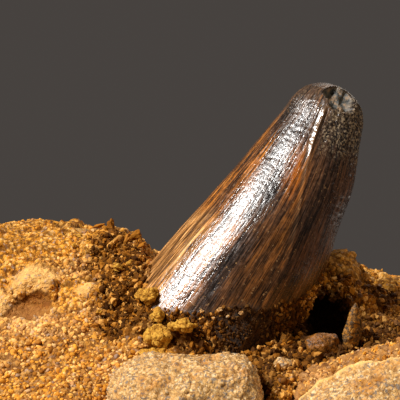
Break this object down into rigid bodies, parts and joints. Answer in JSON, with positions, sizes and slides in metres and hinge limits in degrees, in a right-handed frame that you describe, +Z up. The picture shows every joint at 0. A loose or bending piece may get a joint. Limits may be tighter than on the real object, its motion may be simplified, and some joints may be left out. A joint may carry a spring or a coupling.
{
  "type": "fossil mosasaur tooth in matrix",
  "caption": "Stout glossy brown fossil reptile tooth standing in a lump of ochre sandstone, cut flat underneath so that it rests on a shelf.",
  "frame": {"origin": "on the flat cut underneath the lump, below its middle", "axes": "+X along the lump's length, towards the side that the tooth leans to; +Y back from the side with the cobbles; +Z up, out of the flat cut"},
  "size_m": [0.0891, 0.06, 0.0533],
  "materials": {
    "ochre_sandstone": "rough granular sandstone, ochre with darker brown crumbs",
    "fossil_enamel": "glossy dark brown enamel, finely striated, with orange streaks",
    "cream_cobble": "matt cream stone with grey specks",
    "brown_pebble": "smooth brown stone",
    "fossil_bone": "matt brown fossil bone",
    "ochre_nodule": "dull lumpy yellow ochre"
  },
  "bodies": {
    "root": {"matrix_block": "ochre_sandstone", "tooth_crown": "fossil_enamel", "front_stone": "cream_cobble", "right_stone": "cream_cobble", "hollow_pebble": "brown_pebble", "bone_shard": "fossil_bone", "ochre_nodule_upper": "ochre_nodule", "ochre_nodule_small": "ochre_nodule", "ochre_nodule_middle": "ochre_nodule", "ochre_nodule_lower": "ochre_nodule", "ochre_nodule_front": "ochre_nodule", "pale_chip": "cream_cobble"}
  },
  "joints": []
}
